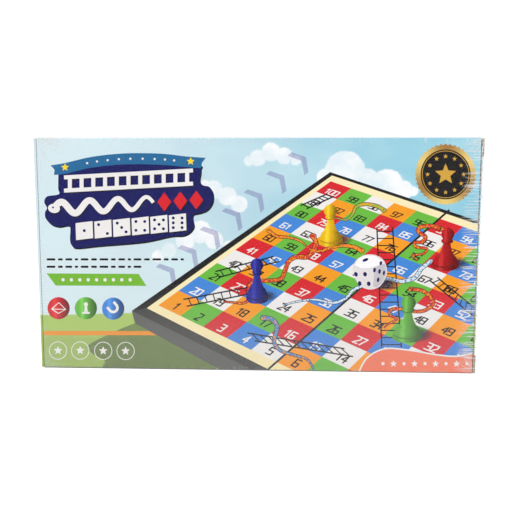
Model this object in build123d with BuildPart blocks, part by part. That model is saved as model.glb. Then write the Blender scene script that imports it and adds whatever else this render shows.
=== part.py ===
"""Film-wrapped carton that holds a folding magnetic board, four pawns and a die.

The carton stands on a long edge with its front towards -Y. The origin is on the floor under its middle.
"""

from build123d import *
import os
from math import cos, radians, sin, tan

# Carton: a reverse tuck end carton of single-wall board
carton_length = 258.5
carton_depth = 38.0
carton_height = 137.0
board = 1.5
crease_gap = 0.3
glue_flap_width = 16.0
glue_flap_setback = 22.0
glue_flap_slant = 8.0

# Closure, tuck and dust flaps
shoulder_height = 10.0
slit_width = 1.0
closure_lift = 0.5
tuck_length = 12.0
tuck_lean = 5.0
tuck_play = 0.3
tuck_corner = 5.0
dust_length = 42.0
dust_root = 4.0
dust_taper = 20.0
dust_tuck_side = 3.2
dust_tuck_taper = 6.0
dust_corner = 3.0

# Shrink film
film = 0.2
film_lip = 1.5

# Folding board case: the room left round it in the carton, and its own walls
case_end_play = 1.2
case_side_room = 3.5
case_top_room = 6.55
case_rest = 0.3
case_half_gap = 0.1
case_corner = 4.0
case_wall = 2.0
case_floor = 3.0
case_bevel = 0.8
frame_width = 9.0
fold_margin = 1.2
rib_thickness = 1.4
rib_depth = 5.0
rib_columns = 7
rib_rows = 3
bay_height = 34.0

# Case hinge and latch
barrel_radius = 2.4
knuckle_length = 10.0
knuckle_gap = 0.4
gusset_drop = 1.6
gusset_reach = 5.6
pin_radius = 1.0
pin_play = 0.05
pin_bevel = 0.2
hinge_inset = 44.75
latch_width = 24.0
latch_thickness = 1.4
latch_reach = 9.0
latch_hook = 0.9
latch_play = 0.3
latch_root = 0.2

# Sheets in the case's recess
steel = 0.5
sheet = 0.4
sheet_play = 0.2
sheet_corner = 1.0
recess_lip = 0.3

# Pawns, magnets and die
storage_places = 8
pawn_headroom = 2.0
pawn_base_radius = 6.5
pawn_base_height = 2.2
pawn_waist_radius = 2.4
pawn_waist_drop = 2.4
pawn_head_radius = 3.4
pawn_head_angles = (-15, 15, 60)
magnet_radius = 4.0
magnet_thickness = 1.6
magnet_recess = 0.2
die_size = 12.0
die_bevel = 1.0
pip_radius = 1.2
pip_depth = 0.4
pip_sides = 12

# How far a cutting shape runs past what it cuts
cut_past = 1.0

# Places in the carton
half_length = carton_length / 2
half_depth = carton_depth / 2
inner_depth = half_depth - board
carton_bottom = film
carton_top = carton_bottom + carton_height
carton_middle = carton_bottom + carton_height / 2
end_face = half_length - board
closure_axis_x = half_length - board / 2
closure_axis_y = half_depth - board / 2
closure_bottom = carton_bottom + closure_lift
closure_top = carton_top - closure_lift
closure_span = closure_top - closure_bottom
panel_end = end_face - crease_gap
tuck_axis_y = -(inner_depth - tuck_play - board / 2)
tuck_bottom = closure_bottom + shoulder_height + slit_width
tuck_top = closure_top - shoulder_height - slit_width
dust_face = panel_end - board
dust_axis_x = dust_face + board / 2
dust_axis_z = carton_top - crease_gap - board / 2
tube_end = dust_face - crease_gap

# Places in the case
case_length = 2 * (dust_face - case_end_play)
case_half_depth = inner_depth - case_side_room
case_bottom = carton_bottom + board + case_rest + barrel_radius
case_top = carton_top - board - case_top_room
case_half_height = case_top - case_bottom
case_middle = (case_bottom + case_top) / 2
floor_inner = case_half_depth - case_floor
bay_top = case_bottom + case_wall + bay_height
recess_depth = recess_lip + steel + sheet
recess_bed = case_half_depth - recess_depth
play_length = case_length - 2 * frame_width
play_height = case_half_height - frame_width - fold_margin
play_middle = case_bottom + fold_margin + play_height / 2
hinge_site = case_length / 2 - hinge_inset
storage_pitch = case_length / storage_places

os.makedirs("parts", exist_ok=True)


def half_turn(piece):
    """The same piece at the other end of the carton, which repeats the first end half a turn round Z."""
    return Rot(0, 0, 180) * piece


def write(piece, name):
    """Labels one finished piece and writes it under its own name."""
    piece.label = name
    export_step(piece, f"parts/{name}.step")


# Tube of the carton
with BuildPart() as carton_sleeve:
    with BuildSketch(Plane.YZ):
        with Locations((0, carton_middle)):
            Rectangle(carton_depth, carton_height)
            Rectangle(carton_depth - 2 * board, carton_height - 2 * board, mode=Mode.SUBTRACT)
    extrude(amount=panel_end, both=True)
    tube_edges = carton_sleeve.edges().filter_by(Axis.X)
    fillet(tube_edges.group_by(Axis.Y)[0] + tube_edges.group_by(Axis.Y)[-1], board / 2)
    # The top and bottom walls end further in, behind the dust flap creases
    with BuildSketch(Plane.XZ.offset(-inner_depth)):
        for side in (-1, 1):
            with Locations((side * panel_end, carton_top - board)):
                Rectangle(2 * (panel_end - tube_end), board + cut_past, align=(Align.CENTER, Align.MIN))
            with Locations((side * panel_end, carton_bottom + board)):
                Rectangle(2 * (panel_end - tube_end), board + cut_past, align=(Align.CENTER, Align.MAX))
    extrude(amount=2 * inner_depth, mode=Mode.SUBTRACT)
    # Glue flap behind the back panel, under the top wall, with slanted ends
    glue_end = half_length - glue_flap_setback
    glue_top = carton_top - board
    with BuildSketch(Plane.XZ.offset(-inner_depth)):
        with BuildLine():
            Polyline(
                (-glue_end, glue_top),
                (glue_end, glue_top),
                (glue_end - glue_flap_slant, glue_top - glue_flap_width),
                (-glue_end + glue_flap_slant, glue_top - glue_flap_width),
                close=True,
            )
        make_face()
    extrude(amount=board)
write(carton_sleeve.part, "carton_sleeve")

# End closure: crease bead on the back panel's edge, two slit-lock shoulders that reach the front
with BuildPart() as right_closure_panel:
    with BuildSketch(Plane.XY.offset(closure_bottom)):
        with Locations((closure_axis_x, closure_axis_y)):
            Rectangle(board, half_depth + closure_axis_y, align=(Align.CENTER, Align.MAX))
            Circle(board / 2)
    extrude(amount=closure_span)
    # Between the slits the panel ends at the tuck's crease, mitred on its inner side
    fold_edge = tuck_axis_y + board / 2 + crease_gap
    with BuildSketch(Plane.XY.offset(closure_bottom + shoulder_height)):
        with BuildLine():
            Polyline(
                (half_length + cut_past, -half_depth - cut_past),
                (half_length + cut_past, fold_edge),
                (half_length, fold_edge),
                (end_face, fold_edge + board),
                (end_face - cut_past, fold_edge + board),
                (end_face - cut_past, -half_depth - cut_past),
                close=True,
            )
        make_face()
    extrude(amount=closure_span - 2 * shoulder_height, mode=Mode.SUBTRACT)
write(right_closure_panel.part, "right_closure_panel")
write(half_turn(right_closure_panel.part), "left_closure_panel")

# Tuck flap: leans a little inwards from its crease and has round outer corners
with BuildPart() as right_tuck_flap:
    crease = Vector(closure_axis_x, tuck_axis_y)
    along = Vector(-cos(radians(tuck_lean)), sin(radians(tuck_lean)))
    across = Vector(along.Y, -along.X) * (board / 2)
    tip = crease + along * tuck_length
    with BuildSketch(Plane.XY.offset(tuck_bottom)):
        with Locations((crease.X, crease.Y)):
            Circle(board / 2)
        with BuildLine():
            Polyline(crease + across, tip + across, tip - across, crease - across, close=True)
        make_face()
    extrude(amount=tuck_top - tuck_bottom)
    tip_edges = right_tuck_flap.faces().filter_by(Axis.Z).edges().sort_by(Axis.X)
    fillet([tip_edges[0], tip_edges[1]], tuck_corner)
write(right_tuck_flap.part, "right_tuck_flap")
write(half_turn(right_tuck_flap.part), "left_tuck_flap")

# Dust flap: narrower at the tip, so that it clears the closure as both swing out
with BuildPart() as right_top_dust_flap:
    dust_back = closure_axis_y - dust_root
    dust_front = -(inner_depth - dust_tuck_side)
    dust_tip_z = dust_axis_z - dust_length
    with BuildSketch(Plane.YZ.offset(dust_face)):
        with BuildLine():
            Polyline(
                (dust_front, dust_axis_z),
                (dust_back, dust_axis_z),
                (dust_back - dust_length * tan(radians(dust_taper)), dust_tip_z),
                (dust_front + dust_length * tan(radians(dust_tuck_taper)), dust_tip_z),
                close=True,
            )
        make_face()
        fillet(vertices().group_by(Axis.Y)[0], dust_corner)
    extrude(amount=board)
    with BuildSketch(Plane.XZ.offset(-dust_back)):
        with Locations((dust_axis_x, dust_axis_z)):
            Circle(board / 2)
    extrude(amount=dust_back - dust_front)
write(right_top_dust_flap.part, "right_top_dust_flap")
right_bottom_dust_flap = Pos(0, 0, 2 * carton_middle) * mirror(right_top_dust_flap.part, about=Plane.XY)
write(right_bottom_dust_flap, "right_bottom_dust_flap")
write(half_turn(right_top_dust_flap.part), "left_top_dust_flap")
write(half_turn(right_bottom_dust_flap), "left_bottom_dust_flap")

# Shrink film drawn tight round the tube
with BuildPart() as film_sleeve:
    with BuildSketch(Plane.YZ):
        with Locations((0, carton_middle)):
            RectangleRounded(carton_depth + 2 * film, carton_height + 2 * film, board / 2 + film)
            RectangleRounded(carton_depth, carton_height, board / 2, mode=Mode.SUBTRACT)
    extrude(amount=panel_end, both=True)
write(film_sleeve.part, "film_sleeve")

# Film over one end: a shallow tray with lips folded round the closure's three free edges
with BuildPart() as film_right_end:
    tray_width = closure_axis_y + half_depth
    with BuildSketch(Plane.YZ.offset(end_face)):
        with Locations((closure_axis_y, carton_middle)):
            Rectangle(tray_width + film, closure_span + 2 * film, align=(Align.MAX, Align.CENTER))
    extrude(amount=film_lip + film)
    with BuildSketch(Plane.YZ.offset(end_face)):
        with Locations((closure_axis_y, carton_middle)):
            Rectangle(tray_width, closure_span, align=(Align.MAX, Align.CENTER))
    extrude(amount=film_lip, mode=Mode.SUBTRACT)
write(film_right_end.part, "film_right_end")
write(half_turn(film_right_end.part), "film_left_end")


def knuckle_centres(order):
    """X places of the barrels that one half carries: the outer two of each site or the middle one."""
    step = knuckle_length + knuckle_gap
    offsets = (0,) if order == "middle" else (-step, step)
    return [site + offset for site in (-hinge_site, hinge_site) for offset in offsets]


def case_half(front):
    """One tray of the folding board: play side outwards, ribs and knuckles on its hollow side."""
    way = -1 if front else 1
    rim = Plane.XZ.offset(-way * case_half_gap)
    outer_face = Plane.XZ.offset(-way * case_half_depth)
    inner_face = Plane.XZ.offset(-way * floor_inner)
    with BuildPart() as tray:
        with BuildSketch(rim):
            with Locations((0, case_middle)):
                RectangleRounded(case_length, case_half_height, case_corner)
        extrude(amount=-way * (case_half_depth - case_half_gap))
        chamfer(tray.faces().sort_by(Axis.Y)[0 if front else -1].edges(), case_bevel)
        # Hollow, open at the rim
        hollow_length = case_length - 2 * case_wall
        with BuildSketch(rim):
            with Locations((0, case_middle)):
                RectangleRounded(hollow_length, case_half_height - 2 * case_wall, case_corner - case_wall)
        extrude(amount=-way * (floor_inner - case_half_gap), mode=Mode.SUBTRACT)
        # Recess for the steel and the printed sheet
        with BuildSketch(outer_face):
            with Locations((0, play_middle)):
                Rectangle(play_length, play_height)
        extrude(amount=way * recess_depth, mode=Mode.SUBTRACT)
        # Stiffening ribs above the storage bay
        rib_area = case_top - case_wall - bay_top
        with BuildSketch(inner_face):
            with Locations((0, bay_top + rib_area / 2)):
                with GridLocations(case_length / (rib_columns + 1), 0, rib_columns, 1):
                    Rectangle(rib_thickness, rib_area)
                with GridLocations(0, rib_area / (rib_rows + 1), 1, rib_rows):
                    Rectangle(hollow_length, rib_thickness)
        extrude(amount=way * rib_depth)
        # Wall between the bay and the ribs, up to the rim
        with BuildSketch(inner_face):
            with Locations((0, bay_top)):
                Rectangle(hollow_length, rib_thickness)
        extrude(amount=way * (floor_inner - case_half_gap))
        # Hinge: notches for the other half's barrels, then this half's own with their bores
        own = knuckle_centres("outer" if front else "middle")
        other = knuckle_centres("middle" if front else "outer")
        notch_reach = barrel_radius + knuckle_gap
        with BuildSketch(Plane.XY.offset(case_bottom - cut_past)):
            with Locations(*[(x, 0) for x in other]):
                Rectangle(knuckle_length + 2 * knuckle_gap, 2 * notch_reach)
        extrude(amount=cut_past + notch_reach, mode=Mode.SUBTRACT)
        for x in own:
            with BuildSketch(Plane.YZ.offset(x - knuckle_length / 2)):
                with Locations((0, case_bottom)):
                    Circle(barrel_radius)
                with BuildLine():
                    Polyline(
                        (0, case_bottom - gusset_drop),
                        (way * gusset_reach, case_bottom),
                        (way * gusset_reach, case_bottom + case_wall / 2),
                        (0, case_bottom + case_wall / 2),
                        close=True,
                    )
                make_face()
            extrude(amount=knuckle_length)
            with BuildSketch(Plane.YZ.offset(x - knuckle_length / 2)):
                with Locations((0, case_bottom)):
                    Circle(pin_radius + pin_play)
            extrude(amount=knuckle_length, mode=Mode.SUBTRACT)
        # Latch on the edge away from the hinge: a hooked tongue in front, a groove for it behind
        hook_start = latch_reach - 2 * latch_hook
        hook_middle = latch_reach - latch_hook
        if front:
            with BuildSketch(Plane.YZ.offset(-latch_width / 2)):
                with BuildLine():
                    Polyline(
                        (-latch_reach, case_top - latch_root),
                        (-latch_reach + latch_thickness, case_top + latch_thickness),
                        (latch_reach, case_top + latch_thickness),
                        (latch_reach, case_top - latch_hook + latch_play),
                        (hook_middle, case_top - latch_hook + latch_play),
                        (hook_start, case_top + latch_play),
                        (-case_half_gap, case_top + latch_play),
                        (-case_half_gap, case_top - latch_root),
                        close=True,
                    )
                make_face()
            extrude(amount=latch_width)
        else:
            with BuildSketch(Plane.YZ.offset(-latch_width / 2 - latch_play)):
                with BuildLine():
                    Polyline(
                        (hook_start - latch_play, case_top + cut_past),
                        (hook_start - latch_play, case_top),
                        (hook_middle - latch_play, case_top - latch_hook),
                        (latch_reach + latch_hook, case_top - latch_hook),
                        (latch_reach + latch_hook, case_top + cut_past),
                        close=True,
                    )
                make_face()
            extrude(amount=latch_width + 2 * latch_play, mode=Mode.SUBTRACT)
    return tray.part


write(case_half(True), "case_front_half")
write(case_half(False), "case_back_half")

# Hinge pins: one through the three barrels of each site
pin_length = 3 * knuckle_length + 2 * knuckle_gap
for name, site in (("hinge_pin_left", -hinge_site), ("hinge_pin_right", hinge_site)):
    with BuildPart() as hinge_pin:
        with BuildSketch(Plane.YZ.offset(site - pin_length / 2)):
            with Locations((0, case_bottom)):
                Circle(pin_radius)
        extrude(amount=pin_length)
        chamfer(hinge_pin.edges().filter_by(GeomType.CIRCLE), pin_bevel)
    write(hinge_pin.part, name)

# Steel and printed sheets in each half's recess
for side_name, way in (("front", -1), ("back", 1)):
    with BuildPart() as steel_sheet:
        with BuildSketch(Plane.XZ.offset(-way * recess_bed)):
            with Locations((0, play_middle)):
                Rectangle(play_length - 2 * sheet_play, play_height - 2 * sheet_play)
        extrude(amount=-way * steel)
    write(steel_sheet.part, f"steel_sheet_{side_name}")
    with BuildPart() as play_sheet:
        with BuildSketch(Plane.XZ.offset(-way * (recess_bed + steel))):
            with Locations((0, play_middle)):
                RectangleRounded(play_length - 2 * sheet_play, play_height - 2 * sheet_play, sheet_corner)
        extrude(amount=-way * sheet)
    write(play_sheet.part, f"play_sheet_{side_name}")

# Pawns: they cling by their magnets to the inner side of the back half, over its steel sheet
foot_y = floor_inner - case_rest
pawn_height = foot_y + floor_inner - pawn_headroom
pawn_z = case_bottom + case_wall + bay_height / 2
head_centre = pawn_height - pawn_head_radius * sin(radians(pawn_head_angles[-1]))
for number, colour in enumerate(("red", "yellow", "blue", "green")):
    seat = Plane(((number - 1) * storage_pitch, foot_y, pawn_z), x_dir=(1, 0, 0), z_dir=(0, -1, 0))
    with BuildPart() as pawn:
        with BuildSketch(Plane.XZ):
            with BuildLine():
                turns = [radians(angle) for angle in pawn_head_angles]
                head = [(pawn_head_radius * cos(a), head_centre + pawn_head_radius * sin(a)) for a in turns]
                Polyline(
                    (0, 0),
                    (pawn_base_radius, 0),
                    (pawn_base_radius, pawn_base_height),
                    (pawn_waist_radius, head_centre - pawn_waist_drop),
                    *head,
                    (0, pawn_height),
                    close=True,
                )
            make_face()
        revolve(axis=Axis.Z)
        with BuildSketch(Plane.XY):
            Circle(magnet_radius)
        extrude(amount=magnet_thickness + magnet_recess, mode=Mode.SUBTRACT)
    write(seat.location * pawn.part, f"pawn_{colour}")
    with BuildPart() as magnet:
        with BuildSketch(Plane.XY.offset(magnet_recess)):
            Circle(magnet_radius)
        extrude(amount=magnet_thickness)
    write(seat.location * magnet.part, f"magnet_{colour}")

# Die: rests on the bay's lower wall, with shallow pips in its bevelled faces
pip_step = die_size / 4
pip_places = {
    1: [(0, 0)],
    2: [(-1, -1), (1, 1)],
    3: [(-1, -1), (0, 0), (1, 1)],
    4: [(-1, -1), (-1, 1), (1, -1), (1, 1)],
    5: [(-1, -1), (-1, 1), (0, 0), (1, -1), (1, 1)],
    6: [(-1, -1), (-1, 0), (-1, 1), (1, -1), (1, 0), (1, 1)],
}
die_faces = {1: (0, 0, 1), 6: (0, 0, -1), 2: (0, -1, 0), 5: (0, 1, 0), 3: (1, 0, 0), 4: (-1, 0, 0)}
die_seat = (-1.5 * storage_pitch, 0, case_bottom + case_wall + die_size / 2)
with BuildPart() as die:
    Box(die_size, die_size, die_size)
    chamfer(die.edges(), die_bevel)
    for value, normal in die_faces.items():
        outward = Vector(*normal)
        with BuildSketch(Plane(outward * (die_size / 2), z_dir=outward)):
            with Locations(*[(u * pip_step, v * pip_step) for u, v in pip_places[value]]):
                RegularPolygon(pip_radius, pip_sides)
        extrude(amount=-pip_depth, mode=Mode.SUBTRACT)
write(Pos(*die_seat) * die.part, "die")
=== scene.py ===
"""Film-wrapped game carton: printed front, shrink film, folding board case, pawns and die."""

from math import atan2, cos, pi, radians, sin, sqrt

import bmesh
import bpy
import numpy as np
from mathutils import Matrix, Vector
from mathutils.geometry import tessellate_polygon


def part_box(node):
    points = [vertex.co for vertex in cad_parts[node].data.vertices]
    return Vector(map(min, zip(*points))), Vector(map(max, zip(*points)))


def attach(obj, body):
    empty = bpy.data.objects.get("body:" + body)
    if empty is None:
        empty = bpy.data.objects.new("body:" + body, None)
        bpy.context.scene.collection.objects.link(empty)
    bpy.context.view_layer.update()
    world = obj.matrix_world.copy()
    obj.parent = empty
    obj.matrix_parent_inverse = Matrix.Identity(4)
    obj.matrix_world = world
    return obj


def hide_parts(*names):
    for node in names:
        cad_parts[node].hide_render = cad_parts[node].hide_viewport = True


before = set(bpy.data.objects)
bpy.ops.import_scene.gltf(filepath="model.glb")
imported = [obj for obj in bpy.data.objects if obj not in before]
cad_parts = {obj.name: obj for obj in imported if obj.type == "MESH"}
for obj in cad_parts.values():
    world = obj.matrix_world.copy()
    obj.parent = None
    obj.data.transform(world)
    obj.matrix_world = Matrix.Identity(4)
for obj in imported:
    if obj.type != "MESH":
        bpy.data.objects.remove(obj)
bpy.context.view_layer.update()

bl_info = {
    "name": "Game Carton",
    "version": (1, 0, 0),
    "blender": (4, 5, 0),
    "location": "View3D > Sidebar > Game Carton",
    "description": "Builds the printed look of a film-wrapped board game carton",
    "category": "Object",
}

MM = 0.001

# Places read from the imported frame
TUBE_LOW, TUBE_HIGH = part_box("carton_sleeve")
FILM_LOW, FILM_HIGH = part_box("film_sleeve")
FACE_Y = TUBE_LOW[1]
BACK_Y = TUBE_HIGH[1]
FACE_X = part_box("right_closure_panel")[1][0]
FACE_BOTTOM = TUBE_LOW[2]
FACE_TOP = TUBE_HIGH[2]
FACE_MIDDLE = (FACE_BOTTOM + FACE_TOP) / 2
BOARD = 1.5 * MM

# The real board, in millimetres: its cream rim, its digits, ladders and snakes
SHEET_RIM = 5.0
DIGIT_MARGIN, DIGIT_PITCH, DIGIT_WIDTH, DIGIT_HEIGHT = 2.5, 4.6, 3.0, 6.0
RAIL_OFFSET, RAIL_WIDTH, RUNG_WIDTH, RUNG_PITCH = 3.2, 1.2, 0.9, 7
SNAKE_WIDTH, SNAKE_RIM, SNAKE_SWAY, SNAKE_BEND, SNAKE_STEPS = 3.4, 4.6, 4.5, 18, 40
SNAKE_HEAD, SNAKE_HEAD_RIM = 2.9, 3.5

# The camera that took the photograph, in metres and degrees
CAMERA_PLACE = Vector((0.01739, -0.42424, 0.12054))
CAMERA_YAW = -2.511
CAMERA_PITCH = -7.169
CAMERA_ROLL = 0.072
CAMERA_LENS = 49.41
SENSOR = 36.0
IMAGE_SIDE = 510.0

# Print layers: each ink lies a hair above the one below it
LAYER = 0.007 * MM
STEP, STEPS = 0.00012 * MM, 29
SINK = 0.02 * MM

# The shrink film lies over all of the print
FILM_INNER, FILM_OUTER = 0.12 * MM, 0.2 * MM
FILM_LIP = 1.5 * MM

# Places on the printed front, in pixels of the photograph
BOARD_TOP, BOARD_FOLD_TOP = (330.7, 181.3), (439.5, 218.6)
BOARD_LEFT, BOARD_FOLD_LOW = (158.4, 305.3), (276.5, 362.0)
FRAME_LEFT, FRAME_TOP, FRAME_RIGHT = (131.8, 310.8), (330.2, 172.1), (486.0, 223.5)
RIM_LEFT, RIM_TOP, RIM_RIGHT, RIM_LOW = (146.8, 308.1), (332.0, 175.5), (486.0, 227.1), (320.0, 395.3)
FRAME_LOW, SIDE_LEFT, SIDE_LOW = (300.0, 393.0), (135.0, 323.2), (260.0, 391.5)
PICTURE_CORNER = (486.0, 400.0)
PLATE_OUTLINE = (
    (58.4, 171.0), (90.0, 163.0), (140.0, 160.5), (196.0, 163.5), (200.6, 170.0), (199.6, 180.5),
    (203.0, 185.2), (209.5, 187.0), (213.0, 194.0), (212.2, 203.0), (207.0, 210.0), (199.5, 213.0),
    (193.4, 214.5), (192.6, 219.0), (193.8, 226.0), (190.0, 232.0), (182.8, 235.6), (170.0, 236.4),
    (143.0, 242.0), (99.0, 245.8), (77.0, 248.0), (71.5, 245.0), (70.0, 239.0), (69.6, 226.0),
    (59.0, 226.6), (51.5, 224.4), (45.8, 218.5), (45.0, 212.5), (47.0, 208.0), (44.3, 202.0), (47.2, 196.4),
    (58.8, 194.2), (58.2, 188.0),
)
TITLE_ROWS = (
    ((64.0, 184.0), (193.0, 177.0), 8.6), ((51.0, 208.6), (206.0, 199.4), 9.4),
    ((75.0, 231.4), (187.0, 222.0), 8.8),
)
RIBBON_TOP = (
    (50.7, 165.3), (65.0, 163.0), (92.0, 156.8), (124.5, 153.4), (160.0, 153.6), (186.0, 156.4),
    (205.8, 157.8),
)
RIBBON_LOW = (
    (200.8, 168.2), (186.0, 167.0), (160.0, 164.8), (124.5, 164.4), (92.0, 167.6), (67.0, 173.4),
    (54.0, 175.0),
)
RIBBON_NOTCHES = (202.1, 162.6), (54.6, 169.8)
STARS, STAR_RADIUS = ((65.0, 167.3), (190.6, 161.3)), 4.2
BEAD_RADIUS = 1.1
BANNER = ((46.6, 273.4), (138.6, 273.9), (146.4, 285.9), (55.7, 285.5))
BANNER_DOTS, BANNER_DOT_RADIUS = tuple((63.0 + 8.4 * i, 279.8) for i in range(9)), 1.7
CAPTION_ROWS = ((46.5, 259.4, 193.0), (46.5, 266.8, 149.0))
CAPTION_LENGTHS, CAPTION_GAP, CAPTION_RADIUS = (9.0, 5.0, 7.0, 3.5, 8.0, 6.0), 2.4, 1.1
CHEVRON_START, CHEVRON_STOP, CHEVRONS, CHEVRON_SIZE = (158.0, 282.0), (312.0, 152.0), 7, 13.0
SHADE_OUTLINE = (
    (152, 318), (138, 322), (118, 330), (101, 338), (88, 346), (93, 354), (105, 361), (112, 370),
    (216, 370), (180, 345), (150, 328),
)
GROUND_STRIPE = ((38, 331), (157, 331), (157, 335.2), (38, 335.2))
BOARD_SIGN = ((51.6, 309.0), (58.8, 302.6), (65.8, 309.4), (58.4, 313.4))
MAGNET_SIGN, MAGNET_TURN, MAGNET_LEG, MAGNET_WIDTH = ((113.2, 307.8), 4.2), -40, 4.4, 2.6
DISC_RADIUS, RING_RADIUS, RING_LINE, RING_STAR = 11.1, 8.7, 0.7, 4.6
DISCS = (((58.6, 308.2), "red"), ((85.9, 308.2), "leaf"), ((113.2, 308.6), "blue"))
RINGS = ((58.0, 350.5), (80.2, 350.5), (103.2, 350.8), (125.6, 351.0))
SEAL_CENTRE, SEAL_RADIUS, SEAL_TEETH, SEAL_TOOTH = (445.6, 174.4), 30.0, 40, 0.025
SEAL_BLACK_RADIUS, SEAL_LINE_RADIUS, SEAL_LINE, SEAL_STAR = 25.0, 23.4, 0.6, 11.0
SEAL_SMALL_STARS, SEAL_SMALL_STAR, SEAL_STAR_CIRCLE = 12, 2.4, 18
WAVE_TOP = (
    (358.0, 374.0), (367.0, 358.0), (385.0, 348.7), (410.0, 350.3), (436.0, 354.6), (456.0, 356.2),
    (476.0, 352.3),
)
WAVE_FOOT, WAVE_LINE = ((480.0, 380.0), (355.0, 380.0)), 1.5
WAVE_DOTS, WAVE_DOT_RADIUS = tuple((383.0 + 10.5 * i, 363.6) for i in range(0, 9, 2)), 1.6
WAVE_STARS, WAVE_STAR_RADIUS = tuple((383.0 + 10.5 * i, 363.8) for i in range(1, 9, 2)), 3.6
CLOUDS = (
    (345, 171, 19), (387, 186, 16), (366, 183, 14), (404, 190, 9), (413, 191, 5), (326, 178, 9),
    (271, 152, 9), (258, 158, 8), (249, 161, 5), (284, 156, 8), (296, 160, 5),
    (214, 190, 9), (227, 196, 9), (239, 204, 8), (205, 186, 6),
    (200, 232, 11), (185, 241, 9), (214, 240, 9), (169, 250, 7), (158, 256, 6), (229, 247, 6),
)


def linear(red, green, blue):
    """An 0-255 display colour as linear light."""
    parts = [c / 255 for c in (red, green, blue)]
    return tuple(c / 12.92 if c <= 0.04045 else ((c + 0.055) / 1.055) ** 2.4 for c in parts) + (1.0,)


PALETTE = {
    "navy": (22, 24, 92), "ribbon": (38, 104, 152), "star": (250, 214, 20), "white": (236, 233, 231),
    "red": (214, 34, 44), "leaf": (106, 186, 64), "blue": (66, 134, 214), "orange": (244, 156, 30),
    "cream": (246, 232, 184), "ink": (26, 24, 26), "frame": (30, 29, 29), "frame_near": (66, 66, 64),
    "frame_side": (96, 96, 93), "coral": (240, 124, 92), "gold": (206, 160, 62), "brick": (206, 62, 44),
    "amber": (238, 150, 40), "steel_blue": (84, 140, 190), "pale_blue": (214, 228, 240),
    "snake_green": (150, 176, 70), "pip": (28, 26, 92), "banner": (120, 184, 56),
    "pawn_yellow": (236, 186, 10), "pawn_blue": (38, 42, 148), "pawn_red": (178, 14, 20),
    "pawn_green": (96, 172, 62), "pawn_yellow_rim": (176, 122, 6), "pawn_blue_rim": (20, 20, 84),
    "pawn_red_rim": (108, 6, 12), "pawn_green_rim": (58, 112, 40),
}
DICE = {
    1: [(0, 0)], 2: [(-1, -1), (1, 1)], 3: [(-1, -1), (0, 0), (1, 1)],
    4: [(-1, -1), (1, 1), (-1, 1), (1, -1)], 5: [(-1, -1), (1, 1), (-1, 1), (1, -1), (0, 0)],
    6: [(-1, -1.1), (1, -1.1), (-1, 0), (1, 0), (-1, 1.1), (1, 1.1)],
}
SQUARES = ("orange", "leaf", "red", "blue", "white")
TOP_ROW = ("red", "leaf", "white", "orange", "leaf", "red", "blue", "white", "orange", "leaf")


class Sock:
    """A shader socket with arithmetic, so that a material reads as a formula."""

    def __init__(self, tree, socket):
        self.tree = tree
        self.socket = socket

    def math(self, operation, *others, clamp=False):
        node = self.tree.add("ShaderNodeMath", {"operation": operation, "use_clamp": clamp}, (self, *others))
        return Sock(self.tree, node.outputs[0])

    def __add__(self, other):
        return self.math("ADD", other)

    __radd__ = __add__

    def __mul__(self, other):
        return self.math("MULTIPLY", other)

    __rmul__ = __mul__

    def __sub__(self, other):
        return self.math("SUBTRACT", other)

    def __rsub__(self, other):
        return (self * -1.0) + other

    def __truediv__(self, other):
        return self.math("DIVIDE", other)

    def __abs__(self):
        return self.math("ABSOLUTE")

    def low(self, other):
        return self.math("MINIMUM", other)

    def high(self, other):
        return self.math("MAXIMUM", other)

    def over(self, limit):
        return self.math("GREATER_THAN", limit)

    def ramp(self, start, stop):
        """0 at start, 1 at stop, smooth between."""
        node = self.tree.add(
            "ShaderNodeMapRange", {"interpolation_type": "SMOOTHSTEP"},
            {"Value": self, "From Min": start, "From Max": stop},
        )
        return Sock(self.tree, node.outputs["Result"])


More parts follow.
